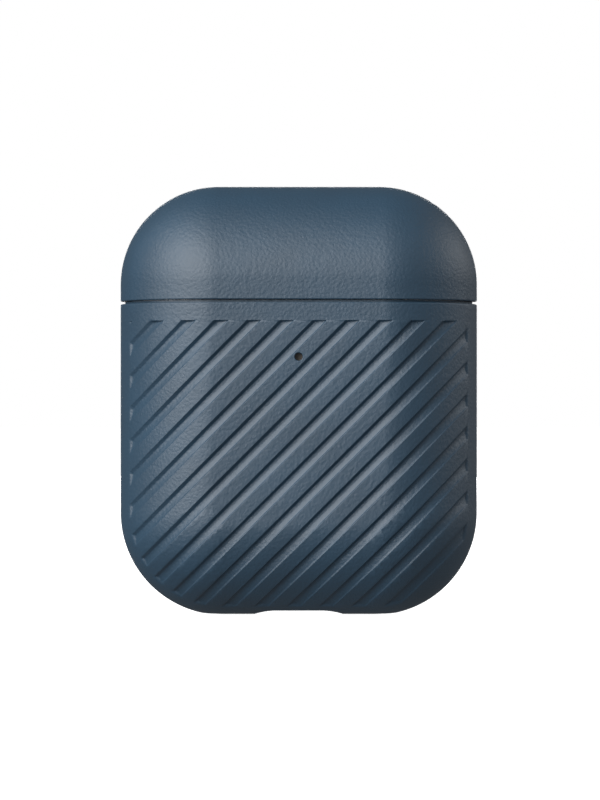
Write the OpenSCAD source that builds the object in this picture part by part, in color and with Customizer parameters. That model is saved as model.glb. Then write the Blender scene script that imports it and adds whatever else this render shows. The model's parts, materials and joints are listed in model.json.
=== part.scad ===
// Charging case for a pair of wireless earbuds, dressed in a two-piece moulded silicone sleeve.
// Millimetres, +Z up, front towards -Y. The origin is at the centre of the sleeve's foot.

/* [Charging case] */
// Width of the bare charging case, side to side
case_w = 44.3; // [42:0.1:54]
// Depth of the bare charging case, front to back
case_d = 21.3; // [20:0.1:26]
// Height of the bare charging case, closed
case_h = 53.5; // [44:0.1:66]
// Thickness of the case's moulded outer shells
shell_wall = 1.3; // [1:0.05:1.6]
// Gap between the case's base and lid at the parting line
case_parting = 0.2; // [0.1:0.05:0.3]
// Clearance between a shell and the moulding inside it
fit_gap = 0.1; // [0.05:0.01:0.15]
// How much of the round underside is taken off to leave a flat foot
foot_trim = 0.25; // [0.1:0.05:0.5]
// How much further than a full round the upper corners are eased
top_corner_ease = 0.95; // [0.5:0.05:2]
// How much further than a full round the lower corners are eased
bottom_corner_ease = 1.55; // [0.5:0.05:3]

/* [Silicone sleeve] */
// Thickness of the sleeve's wall
sleeve_wall = 1.2; // [1:0.05:1.5]
// Clearance between the sleeve and the case in it
sleeve_gap = 0.1; // [0.05:0.01:0.2]
// Gap between the sleeve's lid cover and body
sleeve_parting = 0.35; // [0.2:0.05:0.5]
// Height of the sleeve's lid cover, from the parting line to the top
lid_h = 15.3; // [13:0.1:18]
// Half height of the window that bares the hinge
window_half_h = 2.9; // [2.7:0.1:3.4]
// Radius of the hole over the setup button
button_access_r = 3.1; // [2.9:0.05:4]
// Radius of the hole over the status light
light_access_r = 0.6; // [0.5:0.05:1]
// Length of the cut-out around the charging port
port_access_w = 12.4; // [11:0.1:14]
// Width of the cut-out around the charging port
port_access_d = 6.6; // [5:0.1:8]

/* [Grip grooves] */
// Distance from one groove to the next, square to the grooves
groove_pitch = 2.98; // [2:0.01:5]
// Width of a groove
groove_w = 1.1; // [0.6:0.05:1.8]
// Depth of a groove
groove_depth = 0.5; // [0.2:0.05:0.7]
// How far right of the sleeve's middle the nearest groove runs
groove_shift = 0.5; // [-1.4:0.1:1.4]
// Plain margin between the grooves' ends and the sleeve's outline
groove_margin = 1.4; // [0.8:0.1:3]
// Plain band below the parting line on the front
front_band = 2.4; // [1.5:0.1:6]
// Plain band below the button's hole on the back
back_band = 1.8; // [1:0.1:6]

/* [Earbud wells] */
// Radius of the round well that takes an earbud's stem
well_r = 3.7; // [3:0.1:4.2]
// Wall around a well and around a head pocket
well_wall = 0.9; // [0.7:0.05:1.1]
// Space between a head pocket's wall and the front and back shells
pocket_margin = 0.85; // [0.5:0.05:1.5]
// Space between a head pocket's wall and the side of the shell
pocket_side = 1.15; // [0.8:0.05:2.5]
// Height of the head pockets' middle above the parting line
pocket_rise = 2.5; // [1.5:0.1:3.5]
// How far outboard of its head pocket a stem well stands
well_outset = 1.0; // [0:0.1:1.5]
// Thickness of the floor of a well
well_floor = 1.2; // [1:0.1:1.6]
// Thickness of the decks that carry the wells and the lid's pockets
deck_t = 2.2; // [1.8:0.1:2.6]

/* [Hinge] */
// How far the lid opens, in degrees
lid_opening = 100; // [80:1:100]
// Depth of the hinge line below the case's back
hinge_inset = 0.4; // [0.2:0.05:0.5]
// Radius of the hinge's knuckles
knuckle_r = 1.35; // [1.1:0.05:1.4]
// Radius of the hinge pin
pin_r = 0.5; // [0.4:0.05:0.6]
// Radial clearance of the pin in the knuckles
pin_gap = 0.03; // [0.02:0.01:0.08]
// Half length of the hinge
hinge_half = 9.0; // [8:0.1:10]
// Half length of the lid's middle knuckle
middle_half = 3.4; // [2.5:0.1:4]
// Length of each return spring between the knuckles
spring_len = 2.3; // [1.8:0.1:2.8]
// Thickness of the hinge's leaves
leaf_t = 0.9; // [0.7:0.05:1]

/* [Electronics] */
// Length of the charging port across its mouth
port_w = 8.94; // [8.9:0.01:9.0]
// Width of the charging port across its mouth
port_d = 3.26; // [3.2:0.01:3.3]
// Height of the charging port
port_h = 7.0; // [6.5:0.1:8]
// Thickness of the charging port's steel shell
port_wall = 0.3; // [0.2:0.05:0.35]
// Recess of the port's mouth in the case's foot
port_recess = 0.35; // [0.2:0.05:0.6]
// Length of the charge board
board_w = 32; // [28:0.5:33]
// Width of the charge board
board_d = 12; // [10:0.5:12.5]
// Thickness of the circuit boards
board_t = 0.8; // [0.6:0.1:1]
// Depth of the battery, front to back
battery_d = 12.4; // [10:0.1:12.6]
// Outer radius of the charging coil
coil_r = 8.0; // [6:0.1:8.2]
// Radius of the setup button's cap
button_r = 2.6; // [2.2:0.05:2.8]
// Travel of the setup button
button_travel = 0.4; // [0.2:0.05:0.5]
// Height of the status light above the foot
light_z = 33.6; // [30:0.1:34]
// Radius of the status light's lens
lens_r = 0.75; // [0.7:0.05:0.9]
// Radius of a sprung charging contact
contact_r = 0.45; // [0.3:0.05:0.5]
// Travel of a sprung charging contact
contact_travel = 0.45; // [0.3:0.05:0.5]

/* [Hidden] */

$fn = 72;
hair = 0.05;                                  // clearance between small parts that touch
far = 100;                                    // longer than the case in every direction

skin = sleeve_wall + sleeve_gap;              // from the sleeve's face to the case's face
out_w = case_w + 2 * skin;
out_d = case_d + 2 * skin;
out_h = case_h + 2 * skin;
mid_z = out_h / 2;
split_z = out_h - lid_h;                      // the parting line
corner_top = out_d / 2 + top_corner_ease;
corner_bottom = out_d / 2 + bottom_corner_ease;
case_face = skin;                             // insets from the sleeve's outer face
shell_face = skin + shell_wall;
inner_face = shell_face + fit_gap;
case_half_d = case_d / 2;
inside_half_d = case_half_d - shell_wall;     // half the free depth in the shells
base_top = split_z - case_parting / 2;
lid_bottom = split_z + case_parting / 2;

hinge_y = case_half_d - hinge_inset;
notch_half_h = knuckle_r + 0.25;              // half height of the notch around the knuckles
notch_half_w = hinge_half + 0.3;
relief_r = hinge_inset / sin((180 - lid_opening) / 2) + 0.15;  // lets the lid's back edge swing past the base's
window_half_w = out_w / 2 - 5.95;             // beyond this the sleeve's face lies ahead of the hinge line
lid_screw_z = split_z + 3.2;
leaf_top = lid_screw_z + 1.2;
leaf_lean = max(leaf_top - (out_h - out_d / 2), 0);  // how far up the lid's rounded edge the leaf reaches
leaf_drop = inside_half_d - sqrt(pow(inside_half_d, 2) - pow(leaf_lean, 2));
leaf_y = inside_half_d - max(0.15, leaf_drop + hair) - leaf_t;  // front face of both leaves
leaf_edge = knuckle_r - 0.3;                  // a leaf's edge, up or down from the hinge line
leaf_half_w = hinge_half - 0.2;
screw_x = 6.2;                                // the hinge's screws, left and right
base_screw_z = split_z - 3.0;
screw_shank_r = 0.5;
screw_head_r = 0.95;

pocket_z = split_z + pocket_rise;
pocket_room = min(inside_half_d - fit_gap, out_h - inner_face - pocket_z);  // to the back, and to the lid's top
pocket_r = pocket_room - well_wall - pocket_margin;
pocket_x = case_w / 2 - shell_wall - fit_gap - well_wall - pocket_side - pocket_r;
well_x = pocket_x + well_outset;

port_z = case_face + port_recess;             // the mouth of the charging port
board_z = port_z + port_h;
board_top = board_z + board_t;
block_h = 1.3;                                // height of the blocks that hold the contacts
cap_z = board_top + block_h + hair;           // underside of the wells' floors
well_z = cap_z + well_floor;                  // top of the wells' floors
contact_x = 1.3;                              // a contact's distance from the well's axis
contact_rise = 0.7;                           // how far a contact stands out of the well's floor
boss_y = 3.6;                                 // the board's screws, behind the wells' axes
boss_r = 1.1;
foam_t = 0.55;
battery_z = board_top + hair + foam_t;
battery_half_w = well_x - well_r - well_wall - 0.3;
battery_top = pocket_z - pocket_r - well_wall - 1.7;

ferrite_r = coil_r + 0.3;
coil_z = out_d / 2 - foot_trim + 0.2 + ferrite_r;
coil_t = 0.75;
ferrite_t = 0.3;
button_flange_r = button_r + 0.6;
button_z = coil_z + ferrite_r + 0.15 + button_flange_r;
flange_t = 0.6;
flange_y = inside_half_d - hair - flange_t;   // front face of the button's flange
flex_t = 0.2;
flex_half_w = 2;
back_flex_y = battery_d / 2 + hair;           // front face of the flexible circuit behind the battery
switch_y = back_flex_y + flex_t + hair + board_t;  // back face of the button's board
dome_h = 0.5;
lens_y = inside_half_d - 0.45;                // how far in the lens reaches, ahead of the case's middle
led_y = lens_y - hair - 0.65;
led_board_t = 0.6;
front_flex_y = led_y - led_board_t - hair - flex_t;
magnet_half_w = 2.4;
magnet_d = 2.1;
magnet_h = 2.3;

// Half of a disc of radius r, on the side of positive X.
module half_disc(r) {
    intersection() {
        circle(r);
        translate([0, -r])
            square([r, 2 * r]);
    }
}

// Half of a round-ended bar's section: a flat of length flat, then half a disc of radius r.
module edge_section(flat, r) {
    translate([0, -r])
        square([flat, 2 * r]);
    translate([flat, 0])
        half_disc(r);
}

// A corner of the case's outline, swept about an axis from front to back.
module corner(x, z, turn, flat, r) {
    translate([x, 0, z])
        rotate([0, -turn, 0])
            rotate([90, 0, 0])
                rotate_extrude(angle = 90)
                    edge_section(flat, r);
}

// The closed case's solid form, inset from the sleeve's outer face.
module pebble(inset) {
    half_w = out_w / 2 - inset;
    r = out_d / 2 - inset;
    top = out_h - inset;
    bottom = inset - foot_trim;
    top_x = half_w - (corner_top - inset);
    bottom_x = half_w - (corner_bottom - inset);
    top_z = top - (corner_top - inset);
    bottom_z = bottom + (corner_bottom - inset);
    intersection() {
        union() {
            rotate([90, 0, 0])
                linear_extrude(2 * r, center = true)
                    polygon([
                        [-bottom_x, bottom + r], [bottom_x, bottom + r], [bottom_x, bottom_z],
                        [half_w - r, bottom_z], [half_w - r, top_z], [top_x, top_z],
                        [top_x, top - r], [-top_x, top - r], [-top_x, top_z],
                        [r - half_w, top_z], [r - half_w, bottom_z], [-bottom_x, bottom_z]
                    ]);
            for (side = [0, 1])
                mirror([side, 0, 0]) {
                    translate([half_w - r, 0, bottom_z])
                        linear_extrude(top_z - bottom_z)
                            half_disc(r);
                    corner(top_x, top_z, 0, top_corner_ease, r);
                    corner(bottom_x, bottom_z, -90, bottom_corner_ease, r);
                }
            translate([-top_x, 0, top - r])
                rotate([90, 0, 90])
                    linear_extrude(2 * top_x)
                        rotate(90)
                            half_disc(r);
            translate([-bottom_x, 0, bottom + r])
                rotate([90, 0, 90])
                    linear_extrude(2 * bottom_x)
                        rotate(-90)
                            half_disc(r);
        }
        translate([-far / 2, -far / 2, inset])
            cube(far);
    }
}

// Everything between two heights.
module slab(low, high) {
    translate([-far / 2, -far / 2, low])
        cube([far, far, high - low]);
}

// A box given by its lowest and highest corners.
module box(low, high) {
    translate(low)
        cube(high - low);
}

// A rod along Y, from one depth to another.
module rod_y(x, z, r, from, to) {
    translate([x, to, z])
        rotate([90, 0, 0])
            cylinder(r = r, h = to - from);
}

// A rod along X on the hinge line.
module rod_on_hinge(r, from, to) {
    translate([from, hinge_y, split_z])
        rotate([0, 90, 0])
            cylinder(r = r, h = to - from);
}

// A round-ended bar lying along X and standing along Z.
module stadium_bar(w, d, low, high) {
    translate([0, 0, low])
        linear_extrude(high - low)
            union() {
                square([w - d, d], center = true);
                for (side = [0, 1])
                    mirror([side, 0])
                        translate([(w - d) / 2, 0])
                            half_disc(d / 2);
            }
}

// The sleeve's outline, as seen from the front, drawn in by inset.
module outline_prism(inset, from, to) {
    half_w = out_w / 2 - inset;
    r = corner_bottom - inset;
    low = inset - foot_trim;
    translate([0, to, 0])
        rotate([90, 0, 0])
            linear_extrude(to - from)
                union() {
                    translate([-half_w, low + r])
                        square([2 * half_w, out_h]);
                    translate([r - half_w, low])
                        square([2 * (half_w - r), r + hair]);
                    for (side = [0, 1])
                        mirror([side, 0])
                            translate([half_w - r, low + r])
                                intersection() {
                                    circle(r);
                                    translate([0, -r])
                                        square([r, r]);
                                }
                }
}

// The slanting bars that cut one face's grooves, before they are trimmed to the face.
module groove_bars(from, to) {
    reach = out_w + out_h;
    count = ceil(reach / 2 / groove_pitch);
    translate([0, to, mid_z])
        rotate([90, 0, 0])
            linear_extrude(to - from)
                rotate(-45)
                    for (k = [-count:count])
                        translate([groove_shift + k * groove_pitch - groove_w / 2, -reach / 2])
                            square([groove_w, reach]);
}

// The grooves of one face: the bars, between the sleeve's face and the grooves' floor.
module grooves(top) {
    difference() {
        intersection() {
            groove_bars(-out_d, 0);
            outline_prism(groove_margin, -out_d, 0);
            slab(0, top);
        }
        pebble(groove_depth);
    }
}

// The window in the sleeve's back that bares the hinge.
module hinge_window() {
    translate([0, out_d, split_z])
        rotate([90, 0, 0])
            stadium_bar(2 * window_half_w, 2 * window_half_h, 0, out_d);
}

module sleeve_body() {
    color("#2f4a60")
        difference() {
            intersection() {
                pebble(0);
                slab(0, split_z - sleeve_parting / 2);
            }
            pebble(sleeve_wall);
            grooves(split_z - front_band);
            mirror([0, 1, 0])
                mirror([1, 0, 0])
                    grooves(button_z - button_access_r - back_band);
            hinge_window();
            rod_y(0, light_z, light_access_r, -out_d, 0);
            rod_y(0, button_z, button_access_r, 0, out_d);
            stadium_bar(port_access_w, port_access_d, -1, inner_face);
        }
}

strip_t = 0.35;
strip_recess = strip_t - sleeve_gap + 2 * hair;
strip_w = 15;
strip_h = 4;
strip_z = split_z + window_half_h + 0.4;

// One grip strip, or its pocket when grown, on the front or back wall of the lid cover.
module grip_strip(grow, depth) {
    box([-strip_w / 2 - grow, case_half_d + hair, strip_z - grow],
        [strip_w / 2 + grow, case_half_d + hair + depth, strip_z + strip_h - 2 + grow]);
}

module sleeve_lid() {
    color("#2f4a60")
        difference() {
            intersection() {
                pebble(0);
                slab(split_z + sleeve_parting / 2, out_h + 1);
            }
            pebble(sleeve_wall);
            hinge_window();
            for (side = [0, 1])
                mirror([0, side, 0])
                    grip_strip(hair, strip_t + hair);
        }
}

module lid_grip_strips() {
    color("#1c1f22")
        for (side = [0, 1])
            mirror([0, side, 0])
                grip_strip(0, strip_t);
}

// What both shells lose at the back: the knuckles' notch and the relief for the swinging edge.
module hinge_cuts() {
    box([-notch_half_w, inside_half_d - 1, split_z - notch_half_h],
        [notch_half_w, case_half_d + 1, split_z + notch_half_h]);
    rod_on_hinge(relief_r, -out_w / 2, out_w / 2);
}

module base_shell() {
    color("white")
        difference() {
            intersection() {
                pebble(case_face);
                slab(0, base_top);
            }
            pebble(shell_face);
            hinge_cuts();
            stadium_bar(port_w + 2 * hair, port_d + 2 * hair, 0, inner_face);
            rod_y(0, light_z, lens_r + hair, -case_d, 0);
            rod_y(0, button_z, button_r + hair, 0, case_d);
        }
}

module lid_shell() {
    color("white")
        difference() {
            intersection() {
                pebble(case_face);
                slab(lid_bottom, out_h);
            }
            pebble(shell_face);
            hinge_cuts();
        }
}

// What a deck loses at the back: room for a hinge leaf and the swinging knuckles.
module leaf_room(low, high) {
    box([-notch_half_w, leaf_y - hair, low], [notch_half_w, case_half_d, high]);
    rod_on_hinge(knuckle_r + 0.15, -notch_half_w, notch_half_w);
}

// The block that a hinge leaf is screwed to, with its two pilot holes.
module leaf_block(low, high) {
    box([-leaf_half_w, leaf_y - 2.3, low], [leaf_half_w, leaf_y - hair, high]);
}

module pilot_holes(z) {
    for (side = [-1, 1])
        rod_y(side * screw_x, z, screw_shank_r + 0.02, leaf_y - 1.9, leaf_y + leaf_t);
}

module cradle() {
    color("#f2f2f0")
        difference() {
            union() {
                intersection() {
                    pebble(inner_face);
                    slab(base_top - deck_t, base_top);
                }
                for (side = [-1, 1]) {
                    intersection() {
                        translate([side * pocket_x, 0, pocket_z])
                            sphere(pocket_r + well_wall);
                        slab(0, base_top - deck_t / 2);
                    }
                    translate([side * well_x, 0, cap_z])
                        cylinder(r = well_r + well_wall, h = base_top - deck_t / 2 - cap_z);
                    translate([side * well_x, boss_y, board_top])
                        cylinder(r = boss_r, h = cap_z + hair - board_top);
                }
                leaf_block(base_screw_z - 1.3, base_top - deck_t / 2);
            }
            for (side = [-1, 1]) {
                translate([side * pocket_x, 0, pocket_z])
                    sphere(pocket_r);
                translate([side * well_x, 0, well_z])
                    cylinder(r = well_r, h = case_h);
                translate([side * well_x, boss_y, board_top - 1])
                    cylinder(r = screw_shank_r + 0.02, h = cap_z + 0.7 - board_top + 1);
                for (contact = [-1, 1])
                    translate([side * well_x + contact * contact_x, 0, cap_z - 1])
                        cylinder(r = contact_r + hair, h = well_floor + 2);
            }
            leaf_room(base_top - deck_t - 3, base_top + 1);
            pilot_holes(base_screw_z);
            latch_magnet(base_magnet_z, hair, deck_t);
        }
}

module lid_liner() {
    color("#f2f2f0")
        difference() {
            union() {
                intersection() {
                    pebble(inner_face);
                    slab(lid_bottom, lid_bottom + deck_t);
                }
                for (side = [-1, 1])
                    intersection() {
                        translate([side * pocket_x, 0, pocket_z])
                            sphere(pocket_r + well_wall);
                        slab(lid_bottom + deck_t / 2, out_h);
                    }
                leaf_block(lid_bottom + deck_t / 2, lid_screw_z + 1.3);
            }
            for (side = [-1, 1])
                translate([side * pocket_x, 0, pocket_z])
                    sphere(pocket_r);
            leaf_room(lid_bottom - 1, lid_bottom + deck_t + 3);
            pilot_holes(lid_screw_z);
            latch_magnet(lid_magnet_z, hair, deck_t);
        }
}

base_magnet_z = base_top - 0.8 - magnet_h;
lid_magnet_z = lid_bottom + 0.8;

// A latch magnet, or the pocket for it when grown, at the front of a deck.
module latch_magnet(z, grow, reach) {
    front = -inside_half_d + 0.25;
    past = z < split_z ? [0, -reach] : [reach, 0];
    low = grow > 0 ? past[1] : 0;
    high = grow > 0 ? past[0] : 0;
    box([-magnet_half_w - grow, front - grow, z - grow + low],
        [magnet_half_w + grow, front + magnet_d + grow, z + magnet_h + grow + high]);
}

module base_latch_magnet() {
    color("#b8b9bb") latch_magnet(base_magnet_z, 0, 0);
}

module lid_latch_magnet() {
    color("#b8b9bb") latch_magnet(lid_magnet_z, 0, 0);
}

module well_magnets() {
    magnet_y = well_r + well_wall + hair;
    color("#b8b9bb")
        for (side = [-1, 1], face = [0, 1])
            mirror([0, face, 0])
                box([side * well_x - 1.5, magnet_y, battery_top - 9],
                    [side * well_x + 1.5, magnet_y + 1.5, battery_top - 1]);
}

// One knuckle with its arm down or up to a leaf.
module knuckle(from, to, up) {
    rod_on_hinge(knuckle_r, from, to);
    arm_low = up ? split_z : split_z - notch_half_h + 0.1;
    arm_high = up ? split_z + notch_half_h - 0.1 : split_z;
    box([from, leaf_y, arm_low], [to, hinge_y, arm_high]);
}

// The countersunk holes or screws of one leaf.
module countersinks(z, grow) {
    for (side = [-1, 1])
        translate([side * screw_x, leaf_y + leaf_t, z])
            rotate([90, 0, 0]) {
                cylinder(r1 = screw_head_r + grow, r2 = screw_shank_r + grow, h = 0.45);
                cylinder(r = screw_shank_r + grow, h = leaf_t + 1.7);
            }
}

module hinge_base_leaf() {
    color("silver")
        difference() {
            union() {
                box([-leaf_half_w, leaf_y, base_screw_z - 1.2],
                    [leaf_half_w, leaf_y + leaf_t, split_z - leaf_edge]);
                knuckle(middle_half + spring_len + 0.2, hinge_half, false);
                knuckle(-hinge_half, -middle_half - spring_len - 0.2, false);
            }
            rod_on_hinge(pin_r + pin_gap, -out_w / 2, out_w / 2);
            countersinks(base_screw_z, 0.02);
        }
}

module hinge_lid_leaf() {
    color("silver")
        difference() {
            union() {
                box([-leaf_half_w, leaf_y, split_z + leaf_edge],
                    [leaf_half_w, leaf_y + leaf_t, leaf_top]);
                knuckle(-middle_half, middle_half, true);
            }
            rod_on_hinge(pin_r + pin_gap, -out_w / 2, out_w / 2);
            countersinks(lid_screw_z, 0.02);
        }
}

module hinge_pin() {
    color("silver") rod_on_hinge(pin_r, -hinge_half - 0.15, hinge_half + 0.15);
}

// The return springs: the tube that each coil fills around the pin, and its two short legs.
module hinge_springs() {
    inner = pin_r + 0.12;
    outer = inner + 0.4;
    leg_y = hinge_y - outer;
    leg_z = 0.8;
    wire = 0.35;
    start = middle_half + 0.1;
    color("#8c8f94")
        for (side = [0, 1])
            mirror([side, 0, 0]) {
                difference() {
                    rod_on_hinge(outer, start, start + spring_len);
                    rod_on_hinge(inner, 0, hinge_half);
                }
                box([start, leg_y, split_z], [start + wire, leg_y + wire, split_z + leg_z]);
                box([start + spring_len - wire, leg_y, split_z - leg_z],
                    [start + spring_len, leg_y + wire, split_z]);
            }
}

module hinge_base_screws() {
    color("#6d7075") countersinks(base_screw_z, 0);
}

module hinge_lid_screws() {
    color("#6d7075") countersinks(lid_screw_z, 0);
}

module battery_cell() {
    color("#c9ccd0")
        box([-battery_half_w, -battery_d / 2, battery_z], [battery_half_w, battery_d / 2, battery_top]);
}

module battery_foam() {
    color("#2b2b2d")
        box([1 - battery_half_w, -3.4, board_top + flex_t + hair],
            [battery_half_w - 1, 3.4, battery_z - hair]);
}

module charge_board() {
    color("#1d5a3a")
        difference() {
            intersection() {
                box([-board_w / 2, -board_d / 2, board_z], [board_w / 2, board_d / 2, board_top]);
                pebble(inner_face + 0.2);
            }
            for (side = [-1, 1])
                translate([side * well_x, boss_y, board_z - 1])
                    cylinder(r = screw_shank_r + hair, h = board_t + 2);
        }
}

// Each chip: its middle, its size and its height below the board.
chips = [
    [[8.6, 0], [4, 4], 0.9], [[-8.2, 1.2], [5, 5], 0.8],
    [[-8.2, -3.8], [2.4, 1.6], 0.7], [[8.2, 3.6], [2, 1.2], 0.6]
];

module board_chips() {
    color("#1b1c1e")
        for (chip = chips)
            box([chip[0][0] - chip[1][0] / 2, chip[0][1] - chip[1][1] / 2, board_z - chip[2]],
                [chip[0][0] + chip[1][0] / 2, chip[0][1] + chip[1][1] / 2, board_z]);
}

module board_screws() {
    color("#6d7075")
        for (side = [-1, 1])
            translate([side * well_x, boss_y, 0]) {
                translate([0, 0, board_z - 0.6])
                    cylinder(r = screw_head_r, h = 0.6);
                translate([0, 0, board_z - 0.3])
                    cylinder(r = screw_shank_r, h = cap_z + 0.5 - board_z + 0.3);
            }
}

module charge_port_shell() {
    color("silver")
        difference() {
            stadium_bar(port_w, port_d, port_z, board_z);
            stadium_bar(port_w - 2 * port_wall, port_d - 2 * port_wall, port_z - 1, board_z - 0.8);
        }
}

tongue_half_w = 3.35;
tongue_t = 0.7;
tongue_z = port_z + 0.8;

module charge_port_tongue() {
    top = board_z - 0.8 - hair;
    color("#202124") {
        box([-tongue_half_w, -tongue_t / 2, tongue_z], [tongue_half_w, tongue_t / 2, top - 0.5]);
        stadium_bar(port_w - 2 * port_wall - 2 * hair, port_d - 2 * port_wall - 2 * hair,
                    top - 1, top);
    }
}

module charge_port_pads() {
    pads = 12;
    pitch = 0.5;
    color("gold")
        for (k = [0:pads - 1], face = [0, 1])
            mirror([0, face, 0])
                translate([(k - (pads - 1) / 2) * pitch, tongue_t / 2 + 0.03, tongue_z + 1.9])
                    cube([0.28, 0.06, 3.2], center = true);
}

module charging_coil() {
    color("#b06a3a")
        difference() {
            rod_y(0, coil_z, coil_r, inside_half_d - hair - coil_t, inside_half_d - hair);
            rod_y(0, coil_z, coil_r / 2, 0, out_d);
        }
}

module ferrite_sheet() {
    back = inside_half_d - 2 * hair - coil_t;
    color("#3a3b3e") rod_y(0, coil_z, ferrite_r, back - ferrite_t, back);
}

module setup_button() {
    color("white") {
        rod_y(0, button_z, button_r, flange_y + flange_t / 2, case_half_d - hair);
        rod_y(0, button_z, button_flange_r, flange_y, flange_y + flange_t);
        rod_y(0, button_z, 1, switch_y + dome_h + button_travel + hair, flange_y + flange_t / 2);
    }
}

module button_dome() {
    color("silver") rod_y(0, button_z, 2, switch_y, switch_y + dome_h);
}

module button_board() {
    color("#1d5a3a")
        box([-3.2, switch_y - board_t, button_z - 3], [3.2, switch_y, button_z + 3]);
}

module status_lens() {
    color("#d8d2c6") rod_y(0, light_z, lens_r, -case_half_d, -lens_y);
}

module status_led() {
    color("#e8e6da")
        box([-0.8, -led_y - 0.65, light_z - 0.8], [0.8, -led_y, light_z + 0.8]);
    color("#1d5a3a")
        box([-2.5, -led_y, light_z - 2], [2.5, -led_y + led_board_t, light_z + 2]);
}

// The flexible circuits: one up the front to the light and sensor, one up the back to the button.
module flex_cables() {
    color("#c98a2b") {
        box([-flex_half_w, -front_flex_y - flex_t, board_top], [flex_half_w, -front_flex_y, light_z + 3.6]);
        box([-flex_half_w, -front_flex_y - flex_t, board_top], [flex_half_w, -4.2, board_top + flex_t]);
        box([-flex_half_w, back_flex_y, board_top], [flex_half_w, back_flex_y + flex_t, button_z]);
        box([-flex_half_w, 4.2, board_top], [flex_half_w, back_flex_y + flex_t, board_top + flex_t]);
    }
}

module lid_sensor() {
    color("#1b1c1e")
        box([-1, -front_flex_y - flex_t - 0.6 - hair, light_z + 2.3],
            [1, -front_flex_y - flex_t - hair, light_z + 3.5]);
}

module contact_blocks() {
    color("#1b1c1e")
        for (side = [-1, 1])
            difference() {
                box([side * well_x - 2.6, -2.1, board_top], [side * well_x + 2.6, 2.1, board_top + block_h]);
                for (contact = [-1, 1])
                    translate([side * well_x + contact * contact_x, 0, board_top - 1])
                        cylinder(r = contact_r + hair, h = block_h + 2);
            }
}

// The two sprung contacts of one well.
module contact_pins(side) {
    foot = board_top + contact_travel + hair;
    tip = 0.25;
    color("gold")
        for (contact = [-1, 1])
            translate([side * well_x + contact * contact_x, 0, foot]) {
                cylinder(r = contact_r, h = well_z + contact_rise - tip - foot);
                translate([0, 0, well_z + contact_rise - tip - foot])
                    cylinder(r1 = contact_r, r2 = contact_r / 2, h = tip);
            }
}

module left_contact_pins() {
    contact_pins(-1);
}

module right_contact_pins() {
    contact_pins(1);
}

sleeve_body();
sleeve_lid();
lid_grip_strips();
base_shell();
cradle();
lid_shell();
lid_liner();
hinge_base_leaf();
hinge_lid_leaf();
hinge_pin();
hinge_springs();
hinge_base_screws();
hinge_lid_screws();
battery_cell();
battery_foam();
charge_board();
board_chips();
board_screws();
charge_port_shell();
charge_port_tongue();
charge_port_pads();
charging_coil();
ferrite_sheet();
setup_button();
button_dome();
button_board();
status_lens();
status_led();
flex_cables();
lid_sensor();
base_latch_magnet();
lid_latch_magnet();
well_magnets();
contact_blocks();
left_contact_pins();
right_contact_pins();
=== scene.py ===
import json
import math

import bmesh
import bpy
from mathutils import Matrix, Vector

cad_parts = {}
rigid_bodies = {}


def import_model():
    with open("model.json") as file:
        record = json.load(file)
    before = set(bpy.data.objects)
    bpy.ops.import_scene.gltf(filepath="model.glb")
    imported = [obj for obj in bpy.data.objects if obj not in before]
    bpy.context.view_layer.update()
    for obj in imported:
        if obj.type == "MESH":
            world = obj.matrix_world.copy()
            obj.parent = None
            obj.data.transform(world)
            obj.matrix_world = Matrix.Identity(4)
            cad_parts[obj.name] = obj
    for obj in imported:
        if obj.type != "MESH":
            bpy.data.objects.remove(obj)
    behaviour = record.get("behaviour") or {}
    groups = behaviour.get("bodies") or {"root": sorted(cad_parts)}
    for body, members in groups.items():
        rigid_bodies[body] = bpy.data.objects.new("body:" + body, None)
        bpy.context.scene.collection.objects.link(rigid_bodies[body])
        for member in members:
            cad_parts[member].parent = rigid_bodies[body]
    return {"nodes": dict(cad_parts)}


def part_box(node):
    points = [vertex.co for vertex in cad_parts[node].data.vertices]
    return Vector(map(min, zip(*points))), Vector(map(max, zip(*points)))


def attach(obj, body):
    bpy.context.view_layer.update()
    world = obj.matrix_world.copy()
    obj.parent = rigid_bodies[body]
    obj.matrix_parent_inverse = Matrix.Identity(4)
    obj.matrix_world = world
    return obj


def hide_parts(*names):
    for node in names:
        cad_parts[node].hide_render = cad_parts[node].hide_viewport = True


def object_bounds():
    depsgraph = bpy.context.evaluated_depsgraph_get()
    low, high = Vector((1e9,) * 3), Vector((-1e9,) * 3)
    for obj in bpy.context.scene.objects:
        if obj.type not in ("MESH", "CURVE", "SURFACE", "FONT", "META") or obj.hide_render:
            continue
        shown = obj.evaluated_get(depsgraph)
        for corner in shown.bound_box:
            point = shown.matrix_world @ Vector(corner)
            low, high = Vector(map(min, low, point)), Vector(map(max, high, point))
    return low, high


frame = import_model()
cad_low, cad_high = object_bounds()

# Sleeve body. The lower half of a fitted sleeve, compression-moulded from one thickness of silicone.
# Slanting grip grooves run straight across the front and the back, and each mouth and rim has a soft edge.
# It is pressed here as it is moulded: a flat blank with its lines marked is pushed into the case's form.
MM = 0.001
ROUND = cad_high.y                       # radius of the sleeve's edge all round
HALF_W = cad_high.x
TOP = cad_high.z
FOOT_TRIM = 0.25 * MM                    # what the flat foot takes off the round underside
EASE_RUN = ROUND + 0.95 * MM             # how far in from the outline the faces start to round over
EASE_POWER = 1.8                         # 2 is an ellipse's quarter, and less rounds over sooner
CORNER_TOP = ROUND + 0.95 * MM
CORNER_BOTTOM = ROUND + 1.55 * MM
MIDDLE = TOP / 2
WALL = 1.2 * MM
LIP = 0.18 * MM                          # radius of the rim at the parting line
MOUTH_LIP = 0.16 * MM                    # radius of the edge around a hole
STEP_IN = 0.6 * MM                       # where the rim steps up to close the parting line from inside
BODY_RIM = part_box("sleeve_body")[1].z
GROOVE_PITCH = 2.98 * MM
GROOVE_SHIFT = 0.5 * MM
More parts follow.
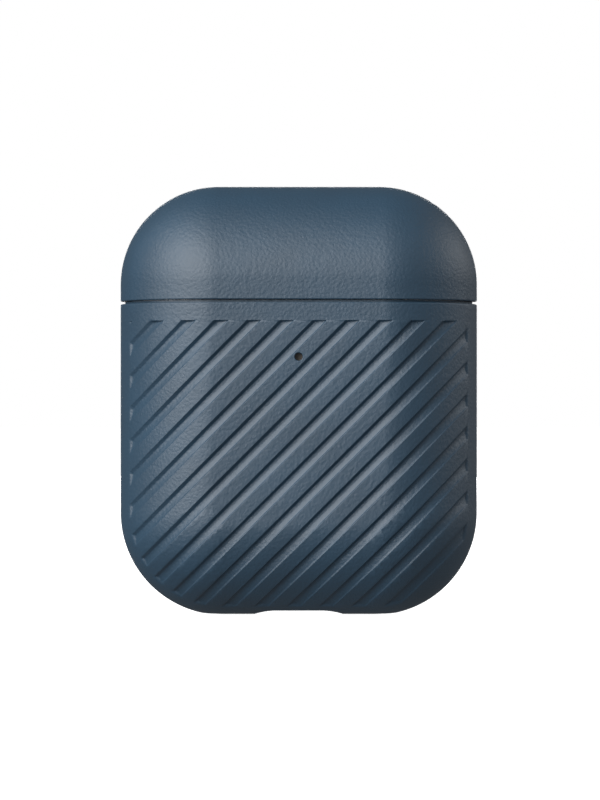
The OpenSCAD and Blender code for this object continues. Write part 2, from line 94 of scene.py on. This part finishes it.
# A groove's section, from its upper edge down across it, as (how far across, how deep): a steep upper wall,
# a narrow floor, a long ramp that catches the light, and a short step back up to the land.
GROOVE_SECTION = [
    (0, 0), (0.05, 0.02), (0.1, 0.08), (0.34, 0.41), (0.4, 0.45), (0.46, 0.46), (0.7, 0.45), (0.78, 0.43),
    (1.25, 0.22), (1.31, 0.18), (1.38, 0.03), (1.43, 0),
]
GROOVE_UPPER_EDGE = -0.58 * MM           # from the groove's middle line
GROOVE_DEPTH = max(deep for across, deep in GROOVE_SECTION) * MM
GROOVE_END_WALL = 0.24 * MM
GROOVE_END_SOFT = 0.3                    # how much of a groove's end wall its rounded edges take
GROOVE_FADE = 0.55                       # how much shallower a groove is where the surface faces sideways
GROOVE_MARGIN = 1.4 * MM
FRONT_BAND = 2.3 * MM
light_low, light_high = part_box("status_lens")
button_low, button_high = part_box("setup_button")
pin_low, pin_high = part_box("hinge_pin")
LIGHT_Z = (light_low.z + light_high.z) / 2
BUTTON_Z = (button_low.z + button_high.z) / 2
HINGE_Z = (pin_low.z + pin_high.z) / 2
BUTTON_HOLE = 3.1 * MM
LIGHT_HOLE = 0.5 * MM
BUTTON_LAND = 1.8 * MM                   # plain band between the button's hole and the back's grooves
BACK_GROOVE_TOP = BUTTON_Z - BUTTON_HOLE - BUTTON_LAND
WINDOW_HALF_H = 2.9 * MM
WINDOW_SIDE = 5.95 * MM                  # from the sleeve's side to the hinge window
WINDOW_HALF_W = HALF_W - WINDOW_SIDE
PORT_HALF_W = 6.2 * MM
PORT_HALF_H = 3.3 * MM
PARTING_GAP = 0.06 * MM                  # between the rim's inner step and the lid cover
CUTTER_REACH = 1 * MM                    # how far a hole's cutter runs past the wall, on both sides


def srgb(code):
    """A hex colour as linear light."""
    parts = [int(code[i:i + 2], 16) / 255 for i in (1, 3, 5)]
    return [c / 12.92 if c <= 0.04045 else ((c + 0.055) / 1.055) ** 2.4 for c in parts] + [1.0]


def pick(kind, test):
    """Selects the vertices, edges or faces of the piece in hand whose middle passes the test."""
    bpy.ops.mesh.select_all(action="DESELECT")
    bpy.ops.mesh.select_mode(type={"verts": "VERT", "edges": "EDGE", "faces": "FACE"}[kind])
    shape = bmesh.from_edit_mesh(bpy.context.object.data)
    for item in getattr(shape, kind):
        if kind == "verts":
            middle = item.co
        elif kind == "edges":
            middle = (item.verts[0].co + item.verts[1].co) / 2
        else:
            middle = item.calc_center_median()
        item.select_set(bool(test(middle)))
    bmesh.update_edit_mesh(bpy.context.object.data)


def score(point, normal, **side):
    """Marks a straight line across the blank in hand, and cuts one side away if asked."""
    bpy.ops.mesh.select_all(action="SELECT")
    bpy.ops.mesh.bisect(plane_co=point, plane_no=normal, threshold=1e-7, **side)


def from_outline(x, z):
    """How far inside the case's outline a point lies, and which way is outwards there."""
    upper = z > MIDDLE
    corner = CORNER_TOP if upper else CORNER_BOTTOM
    over_x = abs(x) - (HALF_W - corner)
    over_z = z - (TOP - corner) if upper else corner - FOOT_TRIM - z
    side, end = math.copysign(1, x), (1 if upper else -1)
    if over_x > 0 and over_z > 0:
        reach = math.hypot(over_x, over_z)
        return corner - reach, Vector((side * over_x / reach, 0, end * over_z / reach))
    if over_x > over_z:
        return corner - over_x, Vector((side, 0, 0))
    return corner - over_z, Vector((0, 0, end))


def on_form(x, z, depth, face, square_on=False):
    """The point on the form below (x, z), sunk by depth: along the surface's own normal, or square on."""
    inside, outwards = from_outline(x, z)
    over = min(max(1 - inside / EASE_RUN, 0), 1)
    left = max(1 - over ** EASE_POWER, 1e-9)
    point = Vector((x, face * ROUND * left ** (1 / EASE_POWER), z))
    if square_on:
        return point - Vector((0, face * depth, 0))
    slope = ROUND / EASE_RUN * over ** (EASE_POWER - 1) * left ** (1 / EASE_POWER - 1)
    normal = (outwards * slope + Vector((0, face, 0))).normalized()
    return point - normal * depth


def on_lining(x, z, face):
    """The point on the sleeve's inside, where the case's own fully round edge lies against it."""
    inside, outwards = from_outline(x, z)
    lean = min(max(ROUND - inside, 0), ROUND)
    y = (ROUND - WALL) * math.sqrt(1 - (lean / ROUND) ** 2)
    return Vector((x, face * y, z)) - outwards * (lean * WALL / ROUND)


def eased(share, soft):
    """Rises from 0 to 1 in a straight line with a short rounded start and end."""
    share = min(max(share, 0), 1)
    slope = 1 / (1 - soft)
    if share > 1 - soft:
        return 1 - slope * (1 - share) ** 2 / (2 * soft)
    if share > soft:
        return slope * (share - soft / 2)
    return slope * share ** 2 / (2 * soft)


def rounded(distance, radius):
    """How deep a rounded edge lies at a distance from its corner."""
    if distance >= radius:
        return 0
    return radius - math.sqrt(radius ** 2 - (radius - distance) ** 2)


def groove_depth(x, z, face, groove_top):
    """How deep the grooves are at (x, z) on the front (face -1) or the back (face 1)."""
    down = (-face * x - (z - MIDDLE)) / math.sqrt(2) - GROOVE_SHIFT - GROOVE_UPPER_EDGE
    down = down % GROOVE_PITCH / MM
    depth = 0
    for (start, high), (stop, low) in zip(GROOVE_SECTION, GROOVE_SECTION[1:]):
        if start <= down < stop:
            depth = (high + (low - high) * (down - start) / (stop - start)) * MM
    inside = from_outline(x, z)[0]
    end = eased(min(inside - GROOVE_MARGIN, groove_top - z) / GROOVE_END_WALL, GROOVE_END_SOFT)
    sideways = min(max(1 - inside / ROUND, 0), 1)
    return (1 - GROOVE_FADE * sideways ** 2) * min(depth, GROOVE_DEPTH * end)


def pressed_half(name, face, rim, is_lid, groove_top=None):
    """One face of a sleeve part: its flat blank, scored along its lines, then pressed to the form."""
    bottom = -FOOT_TRIM
    bpy.ops.object.select_all(action="DESELECT")
    upright = (math.pi / 2, 0, 0)
    bpy.ops.mesh.primitive_plane_add(size=1, location=(0, 0, (TOP + bottom) / 2), rotation=upright)
    half = bpy.context.object
    half.name = name
    half.scale = (2 * HALF_W, TOP - bottom, 1)
    bpy.ops.object.transform_apply(location=True, rotation=True, scale=True)
    bpy.ops.object.mode_set(mode="EDIT")
    for upper, radius in ((True, CORNER_TOP), (False, CORNER_BOTTOM)):
        pick("verts", lambda p: (p.z > MIDDLE) == upper)
        bpy.ops.mesh.bevel(offset=radius, segments=30, profile=0.5, affect="VERTICES")
    steps = [EASE_RUN * (1 - math.cos(math.radians(turn))) for turn in range(4, 91, 4)]
    ends = [GROOVE_MARGIN + GROOVE_END_WALL * k / 4 for k in range(5)]
    steps = [s for s in steps if not ends[0] - 0.1 * MM < s < ends[-1] + 0.1 * MM] + ends
    steps += [FOOT_TRIM] if not is_lid else []
    bpy.ops.mesh.select_mode(type="FACE")
    bpy.ops.mesh.select_all(action="SELECT")
    reached = 0
    for step in sorted(steps):
        bpy.ops.mesh.inset(thickness=step - reached, depth=0, use_even_offset=True)
        reached = step
    score((0, 0, rim), (0, 0, 1), clear_inner=is_lid, clear_outer=not is_lid)
    inwards = 1 if is_lid else -1
    for turn in (15, 30, 45, 60, 75, 90):
        score((0, 0, rim + inwards * LIP * (1 - math.cos(math.radians(turn)))), (0, 0, 1))
    if groove_top:
        for k in range(5):
            score((0, 0, groove_top - GROOVE_END_WALL * k / 4), (0, 0, 1))
        for above in (0.12 * MM, 0.5 * MM, 1.2 * MM):
            score((0, 0, groove_top + above), (0, 0, 1))
        pick("faces", lambda p: from_outline(p.x, p.z)[0] < GROOVE_MARGIN or p.z > groove_top)
        bpy.ops.mesh.hide()
        across = Vector((-face, 0, -1)).normalized()
        count = math.ceil((HALF_W + TOP / 2) / math.sqrt(2) / GROOVE_PITCH)
        for k in range(-count, count + 1):
            for down, deep in GROOVE_SECTION:
                offset = GROOVE_SHIFT + k * GROOVE_PITCH + GROOVE_UPPER_EDGE + down * MM
                score(Vector((0, 0, MIDDLE)) + across * offset, across)
        bpy.ops.mesh.reveal()
    bpy.ops.mesh.select_all(action="SELECT")
    bpy.ops.mesh.remove_doubles(threshold=0.012 * MM)
    bpy.ops.mesh.quads_convert_to_tris(quad_method="BEAUTY", ngon_method="BEAUTY")
    bpy.ops.object.mode_set(mode="OBJECT")
    flat = half.data.attributes.new("flat", "FLOAT_VECTOR", "POINT")
    for vertex, mark in zip(half.data.vertices, flat.data):
        x, z = vertex.co.x, vertex.co.z
        mark.vector = (x, face, z)
        groove = groove_depth(x, z, face, groove_top) if groove_top else 0
        vertex.co = on_form(x, z, max(groove, rounded(abs(z - rim), LIP)), face)
        vertex.co.z = max(vertex.co.z, 0)
    return half


def moulded(name, rim, is_lid, step_up=0, front_grooves=None, back_grooves=None):
    """A whole sleeve part: its two faces welded at the sides, and its wall drawn inwards."""
    front = pressed_half(name, -1, rim, is_lid, front_grooves)
    back = pressed_half(name + "_back", 1, rim, is_lid, back_grooves)
    bpy.ops.object.select_all(action="DESELECT")
    back.select_set(True)
    front.select_set(True)
    bpy.context.view_layer.objects.active = front
    bpy.ops.object.join()
    bpy.ops.object.mode_set(mode="EDIT")
    bpy.ops.mesh.select_all(action="SELECT")
    bpy.ops.mesh.remove_doubles(threshold=0.004 * MM)
    bpy.ops.mesh.normals_make_consistent(inside=False)
    layers = ((STEP_IN, 0), (STEP_IN, step_up), (WALL, step_up)) if step_up else ((WALL, 0),)
    for depth, raised in layers:
        bpy.ops.mesh.extrude_region()
        bpy.ops.object.mode_set(mode="OBJECT")
        flat = front.data.attributes["flat"].data
        for vertex in front.data.vertices:
            if vertex.select:
                x, face, z = flat[vertex.index].vector
                at_rim = abs(z - rim) < 0.01 * MM
                vertex.co = on_lining(x, z, face) if depth == WALL else on_form(x, z, depth, face)
                vertex.co.z = rim + raised if at_rim else max(vertex.co.z, WALL)
        bpy.ops.object.mode_set(mode="EDIT")
    bpy.ops.mesh.select_all(action="SELECT")
    bpy.ops.mesh.normals_make_consistent(inside=False)
    bpy.ops.object.mode_set(mode="OBJECT")
    return front


def stadium(half_w, radius, count=96):
    """The outline of a round-ended slot, or of a round hole when it is as wide as it is high."""
    points = []
    for k in range(count):
        turn = 2 * math.pi * (k + 0.5) / count
        shift = math.copysign(half_w - radius, math.cos(turn))
        points.append((shift, math.cos(turn), math.sin(turn)))
    return points


def open_mouth(piece, half_w, radius, place):
    """Cuts a hole with a soft outer edge, and drops the pieces that no longer touch the rest.
    place(a, b, depth) is the surface's point at (a, b), sunk by depth."""
    rings = [(0, WALL + CUTTER_REACH), (0, MOUTH_LIP)]
    for turn in (20, 40, 60, 80):
        angle = math.radians(turn)
        rings.append((MOUTH_LIP * (1 - math.cos(angle)), MOUTH_LIP * (1 - math.sin(angle))))
    rings.append((MOUTH_LIP * 1.6, -CUTTER_REACH))
    outline = stadium(half_w, radius)
    count = len(outline)
    points = [
        place(shift + (radius + grown) * a, (radius + grown) * b, depth)
        for grown, depth in rings for shift, a, b in outline
    ]
    faces = [list(range(count))[::-1], [len(points) - count + k for k in range(count)]]
    for ring in range(len(rings) - 1):
        for k in range(count):
            a, b = ring * count + k, ring * count + (k + 1) % count
            faces.append([a, b, b + count, a + count])
    mesh = bpy.data.meshes.new("cutter")
    mesh.from_pydata(points, [], faces)
    cutter = bpy.data.objects.new("cutter", mesh)
    bpy.context.scene.collection.objects.link(cutter)
    bpy.ops.object.select_all(action="DESELECT")
    cutter.select_set(True)
    bpy.context.view_layer.objects.active = cutter
    bpy.ops.object.mode_set(mode="EDIT")
    bpy.ops.mesh.select_all(action="SELECT")
    bpy.ops.mesh.normals_make_consistent(inside=False)
    bpy.ops.object.mode_set(mode="OBJECT")
    bpy.context.view_layer.objects.active = piece
    cut = piece.modifiers.new("mouth", "BOOLEAN")
    cut.operation = "DIFFERENCE"
    cut.solver = "EXACT"
    cut.object = cutter
    bpy.ops.object.modifier_apply(modifier=cut.name)
    bpy.data.objects.remove(cutter)
    bpy.ops.object.mode_set(mode="EDIT")
    pick("verts", lambda p: p.x > HALF_W - 0.2 * MM)
    bpy.ops.mesh.select_linked()
    bpy.ops.mesh.select_all(action="INVERT")
    bpy.ops.mesh.delete(type="VERT")
    bpy.ops.object.mode_set(mode="OBJECT")


def finish_smooth(piece, angle=42):
    """Smooths the shading inside each face, and leaves the broad faces as flat as they are."""
    bpy.ops.object.select_all(action="DESELECT")
    piece.select_set(True)
    bpy.context.view_layer.objects.active = piece
    bpy.ops.object.shade_smooth_by_angle(angle=math.radians(angle))
    bpy.ops.object.modifier_add(type="WEIGHTED_NORMAL")
    piece.modifiers[-1].keep_sharp = True
    bpy.ops.object.modifier_apply(modifier=piece.modifiers[-1].name)


def hinge_mouth(a, b, depth):
    return on_form(a, HINGE_Z + b, depth, 1, square_on=True)


def button_mouth(a, b, depth):
    return on_form(a, BUTTON_Z + b, depth, 1)


def light_mouth(a, b, depth):
    return on_form(a, LIGHT_Z + b, depth, -1)


def port_mouth(a, b, depth):
    over = (1 - (abs(b) / ROUND) ** EASE_POWER) ** (1 / EASE_POWER)
    return Vector((a, b, max(EASE_RUN * (1 - over) - FOOT_TRIM, 0) + depth))


step_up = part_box("sleeve_lid")[0].z - BODY_RIM - PARTING_GAP
sleeve_body = moulded("sleeve_body_skin", BODY_RIM, False, step_up, BODY_RIM - FRONT_BAND, BACK_GROOVE_TOP)
# Known fault: these cuts leave strips of wall in the hinge window, and a round stud that stands CUTTER_REACH
# proud where the button's hole should be. The cause hasn't been found.
open_mouth(sleeve_body, WINDOW_HALF_W, WINDOW_HALF_H, hinge_mouth)
open_mouth(sleeve_body, BUTTON_HOLE, BUTTON_HOLE, button_mouth)
open_mouth(sleeve_body, LIGHT_HOLE, LIGHT_HOLE, light_mouth)
open_mouth(sleeve_body, PORT_HALF_W, PORT_HALF_H, port_mouth)
finish_smooth(sleeve_body)

# Sleeve material: matte silicone rubber from a mould whose steel was etched with a fine leather grain.
# The grain is a net of soft cells about 0.4 mm across that breaks the broad sheen into a faint sparkle.
GRAIN = 0.42 * MM


def add(tree, kind, **settings):
    """Adds a node. Each setting is a choice on the node, a value for an input, or a socket to join to it."""
    node = tree.nodes.new(kind)
    for name, value in settings.items():
        if hasattr(node, name):
            setattr(node, name, value)
            continue
        socket = node.inputs[int(name[3:]) if name.startswith("in_") else name.replace("_", " ")]
        if isinstance(value, bpy.types.NodeSocket):
            tree.links.new(value, socket)
        else:
            socket.default_value = value
    return node


def new_material(name, base, roughness, **settings):
    """A material with its constants set on the shader itself. Returns it, its tree and the shader."""
    material = bpy.data.materials.new(name)
    material.use_nodes = True
    tree = material.node_tree
    shader = tree.nodes["Principled BSDF"]
    shader.inputs["Base Color"].default_value = srgb(base)
    shader.inputs["Roughness"].default_value = roughness
    for key, value in settings.items():
        shader.inputs[key.replace("_", " ")].default_value = value
    return material, tree, shader


silicone, tree, shader = new_material("grained_silicone", "#103f59", 0.55, IOR=1.62, Specular_IOR_Level=1.0)
place = add(tree, "ShaderNodeTexCoord").outputs["Object"]
drift = add(tree, "ShaderNodeTexNoise", Vector=place, Scale=1 / (1.1 * MM), Detail=2.0)
wander = add(tree, "ShaderNodeVectorMath", operation="MULTIPLY_ADD", in_0=drift.outputs["Color"],
             in_1=(0.5 * GRAIN,) * 3, in_2=place)
cells = add(tree, "ShaderNodeTexVoronoi", feature="SMOOTH_F1", Scale=1 / GRAIN, Smoothness=0.6,
            Vector=wander.outputs["Vector"])
dust = add(tree, "ShaderNodeTexNoise", Vector=place, Scale=1 / (0.16 * MM), Detail=3.0, Roughness=0.6)
height = add(tree, "ShaderNodeMath", operation="MULTIPLY_ADD", in_0=cells.outputs["Distance"], in_1=-1.0,
             in_2=dust.outputs["Fac"])
bump = add(tree, "ShaderNodeBump", Strength=0.7, Distance=0.05 * MM, Height=height.outputs[0])
tree.links.new(bump.outputs["Normal"], shader.inputs["Normal"])
cloud = add(tree, "ShaderNodeTexNoise", Vector=place, Scale=1 / (9 * MM), Detail=3.0)
tint = add(tree, "ShaderNodeValToRGB", Fac=cloud.outputs["Fac"])
tint.color_ramp.elements[0].position = 0.3
tint.color_ramp.elements[0].color = srgb("#0f3c55")
tint.color_ramp.elements[1].position = 0.7
tint.color_ramp.elements[1].color = srgb("#11425d")
tree.links.new(tint.outputs["Color"], shader.inputs["Base Color"])


def dress(piece, body, slot, material, *nodes):
    """Gives a new piece its material, its body and the nodes it stands for."""
    piece.data.materials.clear()
    piece.data.materials.append(material)
    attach(piece, body)
    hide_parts(*nodes)


dress(sleeve_body, "sleeve_body", "blue_silicone", silicone, "sleeve_body")

# Sleeve lid cover. The plain cap of the same moulding, which two adhesive strips hold on the case's lid.
LID_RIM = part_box("sleeve_lid")[0].z
sleeve_lid = moulded("sleeve_lid_skin", LID_RIM, True)
open_mouth(sleeve_lid, WINDOW_HALF_W, WINDOW_HALF_H, hinge_mouth)
finish_smooth(sleeve_lid)
dress(sleeve_lid, "sleeve_lid", "blue_silicone", silicone, "sleeve_lid")


def coat(material, *names):
    """Gives CAD pieces a finish in place of their plain colour."""
    for name in names:
        slots = frame["nodes"][name].data.materials
        slots.clear()
        slots.append(material)


def roughen(tree, shader, low, high, size, stretch=(1, 1, 1), relief=0.0):
    """Varies the roughness over patches of that size, stretched if asked, with a relief of that height."""
    place = add(tree, "ShaderNodeTexCoord").outputs["Object"]
    drawn = add(tree, "ShaderNodeMapping", Vector=place, Scale=stretch)
    noise = add(tree, "ShaderNodeTexNoise", Vector=drawn.outputs["Vector"], Scale=1 / size, Detail=3.0)
    spread = add(tree, "ShaderNodeMapRange", Value=noise.outputs["Fac"], From_Min=0.3, From_Max=0.7,
                 To_Min=low, To_Max=high)
    tree.links.new(spread.outputs["Result"], shader.inputs["Roughness"])
    if relief:
        bump = add(tree, "ShaderNodeBump", Strength=0.6, Distance=relief, Height=noise.outputs["Fac"])
        tree.links.new(bump.outputs["Normal"], shader.inputs["Normal"])
    return noise


def mottle(tree, shader, noise, dark, light):
    """Lets the colour drift between two tones with a noise."""
    ramp = add(tree, "ShaderNodeValToRGB", Fac=noise.outputs["Fac"])
    ramp.color_ramp.elements[0].position = 0.35
    ramp.color_ramp.elements[0].color = srgb(dark)
    ramp.color_ramp.elements[1].position = 0.65
    ramp.color_ramp.elements[1].color = srgb(light)
    tree.links.new(ramp.outputs["Color"], shader.inputs["Base Color"])


# Case shells and setup button. Polycarbonate from a polished mould, snapped together around the cradle.
# Handling leaves a faint haze, so the gloss is a little uneven over patches some millimetres wide.
polished, tree, shader = new_material("polished_polycarbonate", "#cbcccc", 0.16, IOR=1.58)
roughen(tree, shader, 0.12, 0.24, 6 * MM)
coat(polished, "base_shell", "lid_shell", "setup_button")

# Cradle and lid liner. The same plastic from a spark-eroded mould: an even satin with a fine frosted relief.
satin, tree, shader = new_material("satin_polycarbonate", "#c6c7c8", 0.42, IOR=1.58)
roughen(tree, shader, 0.38, 0.48, 0.12 * MM, relief=0.006 * MM)
coat(satin, "cradle", "lid_liner")

# Hinge. Two leaves stamped from stainless strip and brushed along their length, on a ground pin.
# The brushing draws each highlight out into streaks. The button's snap dome is the same steel.
brushed, tree, shader = new_material("brushed_stainless", "#9b9c9e", 0.3, Metallic=1.0)
roughen(tree, shader, 0.22, 0.42, 0.2 * MM, stretch=(0.04, 1, 1), relief=0.004 * MM)
coat(brushed, "hinge_base_leaf", "hinge_lid_leaf", "hinge_pin", "button_dome")

# Hinge springs. Drawn spring wire, which the drawing die leaves slightly dark and smooth. The coils are
# shown as the plain sleeves that they fill.
wire, tree, shader = new_material("drawn_spring_wire", "#77787c", 0.26, Metallic=1.0)
roughen(tree, shader, 0.2, 0.34, 0.15 * MM)
coat(wire, "hinge_springs")

# Screws. Zinc-plated steel, whose passivated film looks faintly cloudy.
zinc, tree, shader = new_material("zinc_plated_steel", "#8c8f93", 0.34, Metallic=1.0)
mottle(tree, shader, roughen(tree, shader, 0.28, 0.44, 0.3 * MM), "#84878c", "#96999c")
coat(zinc, "hinge_base_screws", "hinge_lid_screws", "board_screws")

# Battery cell. A pouch of aluminium laminate, folded over the cell, so its face is softly crinkled.
pouch, tree, shader = new_material("aluminium_laminate_pouch", "#a3a5a8", 0.36, Metallic=0.85)
roughen(tree, shader, 0.3, 0.46, 2.2 * MM, relief=0.08 * MM)
coat(pouch, "battery_cell")

# Battery pad and lid strips. Closed-cell adhesive foam, dull, with pores a tenth of a millimetre wide.
foam, tree, shader = new_material("closed_cell_foam", "#2f3134", 0.9)
mottle(tree, shader, roughen(tree, shader, 0.84, 0.96, 0.1 * MM, relief=0.03 * MM), "#292b2e", "#383a3d")
coat(foam, "battery_foam", "lid_grip_strips")

# Circuit boards. Glass-epoxy under a green solder mask, screwed or soldered in place.
# The mask's gloss and tone drift in soft streaks. No single tracks are drawn.
mask, tree, shader = new_material("green_solder_mask", "#134a2c", 0.3)
mottle(tree, shader, roughen(tree, shader, 0.24, 0.4, 0.5 * MM, stretch=(1, 0.2, 1), relief=0.01 * MM),
       "#114429", "#1a5a37")
coat(mask, "charge_board", "button_board")

# Chips and the lid sensor. Transfer-moulded black epoxy, matt and faintly gritty.
epoxy, tree, shader = new_material("moulded_black_epoxy", "#1b1c1e", 0.62)
mottle(tree, shader, roughen(tree, shader, 0.54, 0.7, 0.08 * MM, relief=0.006 * MM), "#191a1c", "#222326")
coat(epoxy, "board_chips", "lid_sensor")

# Port shell and magnets. Bright nickel plate over steel and over sintered magnets.
nickel, tree, shader = new_material("bright_nickel_plate", "#a7a49d", 0.2, Metallic=1.0)
roughen(tree, shader, 0.14, 0.28, 1.2 * MM)
coat(nickel, "charge_port_shell", "base_latch_magnet", "lid_latch_magnet", "well_magnets")

# Port tongue and contact blocks. Glass-filled black connector resin, satin with a flow-lined skin.
resin, tree, shader = new_material("glass_filled_resin", "#1e1f21", 0.45)
mottle(tree, shader, roughen(tree, shader, 0.38, 0.55, 0.25 * MM, stretch=(1, 1, 0.3)), "#1b1c1e", "#25262a")
coat(resin, "charge_port_tongue", "contact_blocks")

# Contacts. Hard gold plate on the port's pads and the sprung pins, nearly smooth.
# Its gloss and tone vary a little from place to place.
gold, tree, shader = new_material("hard_gold_plate", "#c79a45", 0.22, Metallic=1.0)
mottle(tree, shader, roughen(tree, shader, 0.16, 0.34, 0.4 * MM), "#bd8f3c", "#cfa450")
coat(gold, "charge_port_pads", "left_contact_pins", "right_contact_pins")

# Charging coil. Enamelled copper wire wound flat, so fine rings run around the coil's own middle.
coil_low, coil_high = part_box("charging_coil")
COIL_Z = (coil_low.z + coil_high.z) / 2
WIRE_PITCH = 0.25 * MM
copper, tree, shader = new_material("enamelled_copper_wire", "#a9572c", 0.28, Metallic=0.9)
mottle(tree, shader, roughen(tree, shader, 0.22, 0.36, 1.5 * MM), "#9c4e27", "#b56233")
place = add(tree, "ShaderNodeTexCoord").outputs["Object"]
centred = add(tree, "ShaderNodeVectorMath", operation="MULTIPLY_ADD", in_0=place, in_1=(1, 0, 1),
              in_2=(0, 0, -COIL_Z))
reach = add(tree, "ShaderNodeVectorMath", operation="LENGTH", in_0=centred.outputs["Vector"])
turns = add(tree, "ShaderNodeMath", operation="MULTIPLY", in_0=reach.outputs["Value"],
            in_1=2 * math.pi / WIRE_PITCH)
rings = add(tree, "ShaderNodeMath", operation="SINE", in_0=turns.outputs[0])
bump = add(tree, "ShaderNodeBump", Strength=0.8, Distance=0.05 * MM, Height=rings.outputs[0])
tree.links.new(bump.outputs["Normal"], shader.inputs["Normal"])
coat(copper, "charging_coil")

# Ferrite sheet. Sintered, thin, and cracked on purpose so that it bends, glued behind the coil.
# It is dark grey, and only its uneven sheen shows here, not the cracks.
ferrite, tree, shader = new_material("cracked_ferrite", "#2b2c2f", 0.5)
mottle(tree, shader, roughen(tree, shader, 0.4, 0.62, 1.6 * MM, relief=0.02 * MM), "#252629", "#34363a")
coat(ferrite, "ferrite_sheet")

# Status light. A milky resin lens that fills the shell's small hole, over a white LED package.
# The lens's grey-brown tones are partly the resin's own colour and partly painted shade: the lens is
# coloured darker to stand for the shade in its deep hole.
milky, tree, shader = new_material("milky_lens_resin", "#8b8177", 0.22)
mottle(tree, shader, roughen(tree, shader, 0.18, 0.28, 0.5 * MM), "#877d73", "#90867c")
coat(milky, "status_lens")
package, tree, shader = new_material("led_package_resin", "#b9b6a4", 0.4)
roughen(tree, shader, 0.34, 0.48, 0.3 * MM)
coat(package, "status_led")

# Flexible cables. Amber polyimide film over copper, with the fine streaks of its rolled surface.
film, tree, shader = new_material("polyimide_film", "#9a5a16", 0.3)
mottle(tree, shader, roughen(tree, shader, 0.22, 0.38, 0.4 * MM, stretch=(1, 1, 0.15)), "#8c4f12", "#a8661d")
coat(film, "flex_cables")

# Floor, light and camera. A plain pale floor in a white room, and one large softbox at the upper left.
# Two weaker ones behind give the case's back and its side edges their light.
bpy.ops.object.select_all(action="DESELECT")
bpy.ops.mesh.primitive_plane_add(size=6, location=(0, 0, -0.0002))
floor = bpy.context.object
floor.name = "floor"
paper, tree, shader = new_material("pale_floor", "#f4f4f4", 0.9, Emission_Strength=0.95)
shader.inputs["Emission Color"].default_value = (1, 1, 1, 1)
floor.data.materials.append(paper)
floor.visible_diffuse = False
floor.visible_glossy = False

# The room is white to the eye and dim to the object, as a tent is that stands well back from it.
ROOM_GLOW = 0.16
world = bpy.data.worlds.new("studio")
bpy.context.scene.world = world
world.use_nodes = True
tree = world.node_tree
seen = add(tree, "ShaderNodeLightPath").outputs["Is Camera Ray"]
glow = add(tree, "ShaderNodeMapRange", Value=seen, To_Min=ROOM_GLOW, To_Max=1.0)
tree.links.new(glow.outputs["Result"], tree.nodes["Background"].inputs["Strength"])
tree.nodes["Background"].inputs["Color"].default_value = (1, 1, 1, 1)


def softbox(name, azimuth, elevation, distance, size, watts):
    """A square soft light that looks at the case's middle, from that many degrees round to the right."""
    bpy.ops.object.light_add(type="AREA")
    lamp = bpy.context.object
    lamp.name = name
    lamp.data.size = size
    lamp.data.energy = watts
    lamp.visible_camera = False
    a, e = math.radians(azimuth), math.radians(elevation)
    lamp.location = Vector((math.sin(a) * math.cos(e), -math.cos(a) * math.cos(e), math.sin(e))) * distance
    lamp.location.z += MIDDLE
    lamp.rotation_euler = (Vector((0, 0, MIDDLE)) - lamp.location).to_track_quat("-Z", "Y").to_euler()


softbox("key_softbox", -40.6, 27, 0.7, 0.756, 6.6)
softbox("side_softbox", 108, 22, 0.8, 0.3, 1.0)
softbox("back_softbox", 180, 4, 0.8, 0.4, 4.0)

bpy.ops.object.camera_add(location=(0.00016, -0.45, MIDDLE), rotation=(math.pi / 2, 0, 0))
camera = bpy.context.object
camera.data.lens = 153.8
camera.data.clip_start = 0.01
bpy.context.scene.camera = camera
bpy.context.scene.view_settings.view_transform = "Standard"
